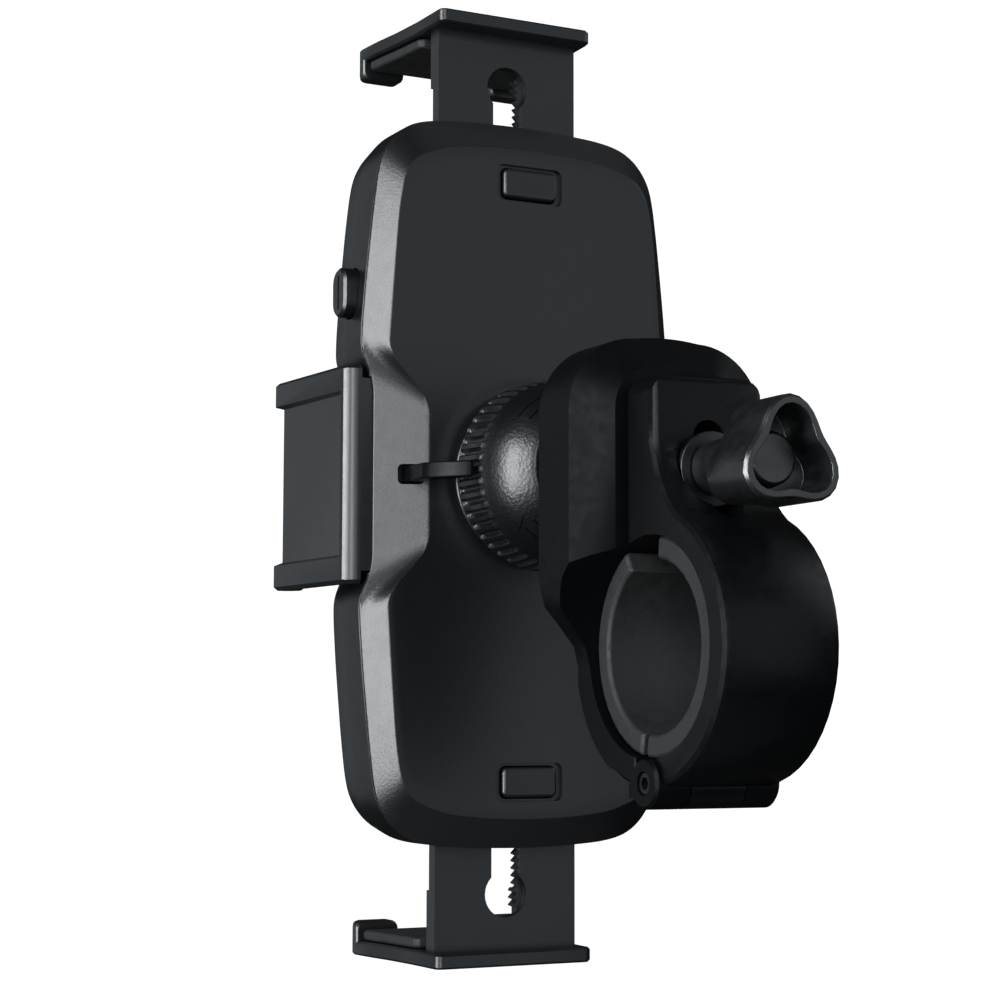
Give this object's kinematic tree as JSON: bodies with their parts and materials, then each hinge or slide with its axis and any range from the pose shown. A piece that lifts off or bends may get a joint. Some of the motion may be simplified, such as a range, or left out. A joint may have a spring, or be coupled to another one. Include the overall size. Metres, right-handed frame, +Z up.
{
  "type": "handlebar phone mount",
  "caption": "Phone cradle with geared side arms and sliding end hooks, on a ball joint carried by a hinged bar clamp with a lobed hand knob.",
  "frame": {"origin": "centre of the handlebar bore, midway along the bar", "axes": "+X along the handlebar, towards the side with the side release button; +Y from the cradle towards the knob, so the phone faces -Y; +Z up along the cradle's long side"},
  "size_m": [0.0764, 0.1272, 0.1828],
  "materials": {
    "back_shell_plastic": "fine leather grain",
    "front_shell_plastic": "smooth satin",
    "bracket_plastic": "smooth semi-gloss",
    "arm_plastic": "smooth satin with a fine-grained panel",
    "nut_plastic": "leather grain on the dome",
    "ball_plastic": "smooth",
    "seat_plastic": "smooth",
    "clamp_plastic": "leather grain on the chamfer, satin side walls",
    "jaw_plastic": "fine grain on the band, smooth sides",
    "knob_plastic": "smooth gloss",
    "button_plastic": "smooth satin",
    "rubber": "matt",
    "steel": "zinc plated",
    "dark_steel": "blackened"
  },
  "bodies": {
    "clamp_base": {"clamp_base": "clamp_plastic", "base_liner": "rubber", "ball_stud": "ball_plastic", "insert_nut": "steel", "hinge_pin": "dark_steel"},
    "clamp_jaw": {"clamp_jaw": "jaw_plastic", "jaw_liner": "rubber"},
    "bolt_carrier": {"flat_washer": "dark_steel"},
    "hand_knob": {"clamp_knob": "knob_plastic", "clamp_bolt": "steel"},
    "ball_seat": {"ball_seat": "seat_plastic"},
    "seat_washer": {"seat_washer": "rubber"},
    "cradle": {"back_shell": "back_shell_plastic", "front_shell": "front_shell_plastic", "front_pad": "rubber", "socket_collet": "seat_plastic", "pinion_axle": "steel"},
    "ball_nut": {"ball_nut": "nut_plastic"},
    "left_arm": {"left_arm": "arm_plastic", "left_arm_pad": "rubber"},
    "right_arm": {"right_arm": "arm_plastic", "right_arm_pad": "rubber"},
    "arm_pinion": {"arm_pinion": "seat_plastic"},
    "top_bracket": {"top_bracket": "bracket_plastic", "top_hook_pad": "rubber"},
    "bottom_bracket": {"bottom_bracket": "bracket_plastic", "bottom_hook_pad": "rubber"},
    "top_release": {"top_release_button": "button_plastic"},
    "bottom_release": {"bottom_release_button": "button_plastic"},
    "side_release": {"side_release_button": "button_plastic"},
    "lock_pawl": {"lock_pawl": "button_plastic"}
  },
  "joints": [
    {"name": "jaw_hinge", "type": "hinge", "parent": "clamp_base", "child": "clamp_jaw", "pos_m": [0, -0.0002, -0.022], "axis": [-1, 0, 0], "range_deg": [0, 7.5]},
    {"name": "bolt_travel", "type": "slide", "parent": "clamp_base", "child": "bolt_carrier", "axis": [0, 1, 0], "range_m": [0, 0.0085]},
    {"name": "knob_turn", "type": "hinge", "parent": "bolt_carrier", "child": "hand_knob", "pos_m": [0, 0.02, 0.0292], "axis": [0, 1, 0], "continuous": true},
    {"name": "ball_pitch", "type": "hinge", "parent": "clamp_base", "child": "ball_seat", "pos_m": [0, -0.0482, 0.0335], "axis": [1, 0, 0], "range_deg": [-15, 15]},
    {"name": "ball_yaw", "type": "hinge", "parent": "ball_seat", "child": "seat_washer", "pos_m": [0, -0.0482, 0.0335], "axis": [0, 0, 1], "range_deg": [-15, 15]},
    {"name": "ball_spin", "type": "hinge", "parent": "seat_washer", "child": "cradle", "pos_m": [0, -0.0482, 0.0335], "axis": [0, 1, 0], "continuous": true},
    {"name": "nut_turn", "type": "hinge", "parent": "cradle", "child": "ball_nut", "pos_m": [0, -0.0482, 0.0335], "axis": [0, 1, 0], "range_deg": [0, 270]},
    {"name": "left_arm_slide", "type": "slide", "parent": "cradle", "child": "left_arm", "axis": [1, 0, 0], "range_m": [0, 0.014]},
    {"name": "right_arm_slide", "type": "slide", "parent": "cradle", "child": "right_arm", "axis": [-1, 0, 0], "range_m": [0, 0.014]},
    {"name": "pinion_spin", "type": "hinge", "parent": "cradle", "child": "arm_pinion", "pos_m": [0, -0.0678, 0.0335], "axis": [0, 1, 0], "range_deg": [0, 150]},
    {"name": "top_bracket_slide", "type": "slide", "parent": "cradle", "child": "top_bracket", "axis": [0, 0, 1], "range_m": [-0.017, 0.006]},
    {"name": "bottom_bracket_slide", "type": "slide", "parent": "cradle", "child": "bottom_bracket", "axis": [0, 0, -1], "range_m": [-0.017, 0.006]},
    {"name": "top_release_press", "type": "slide", "parent": "cradle", "child": "top_release", "axis": [0, -1, 0], "range_m": [0, 0.0015], "stiffness_N_per_m": 400},
    {"name": "bottom_release_press", "type": "slide", "parent": "cradle", "child": "bottom_release", "axis": [0, -1, 0], "range_m": [0, 0.0015], "stiffness_N_per_m": 400},
    {"name": "side_release_press", "type": "slide", "parent": "cradle", "child": "side_release", "axis": [-1, 0, 0], "range_m": [0, 0.0018], "stiffness_N_per_m": 400},
    {"name": "pawl_slide", "type": "slide", "parent": "cradle", "child": "lock_pawl", "axis": [1, 0, 0], "range_m": [0, 0.0012], "stiffness_N_per_m": 400}
  ],
  "couplings": [
    {"joint": "bolt_travel", "follows": "jaw_hinge", "m_per_rad": 0.064},
    {"joint": "right_arm_slide", "follows": "left_arm_slide", "ratio": 1},
    {"joint": "pinion_spin", "follows": "left_arm_slide", "rad_per_m": 185.19}
  ]
}
